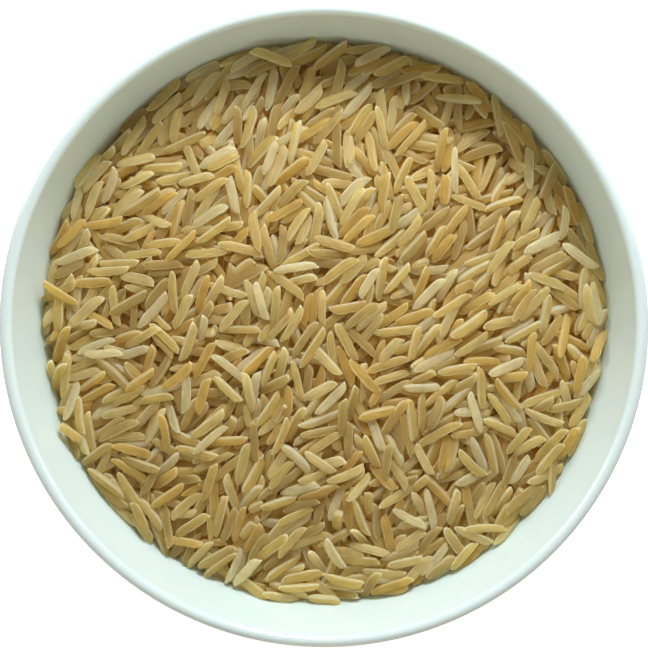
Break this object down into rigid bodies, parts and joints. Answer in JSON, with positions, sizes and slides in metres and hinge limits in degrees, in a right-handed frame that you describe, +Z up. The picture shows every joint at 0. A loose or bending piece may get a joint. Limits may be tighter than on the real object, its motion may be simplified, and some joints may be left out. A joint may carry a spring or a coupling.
{
  "type": "bowl of rice",
  "caption": "Small round porcelain bowl with a foot ring and a rounded lip, filled with a low heap of dry long-grain rice.",
  "frame": {"origin": "centre of the foot ring's resting plane", "axes": "+Z up along the bowl's axis, -Y towards the front, which is the lower edge of the picture taken from straight above"},
  "size_m": [0.12, 0.12, 0.056],
  "materials": {
    "porcelain": "gloss",
    "rice": "satin"
  },
  "bodies": {
    "root": {"bowl": "porcelain", "rice": "rice"}
  },
  "joints": []
}
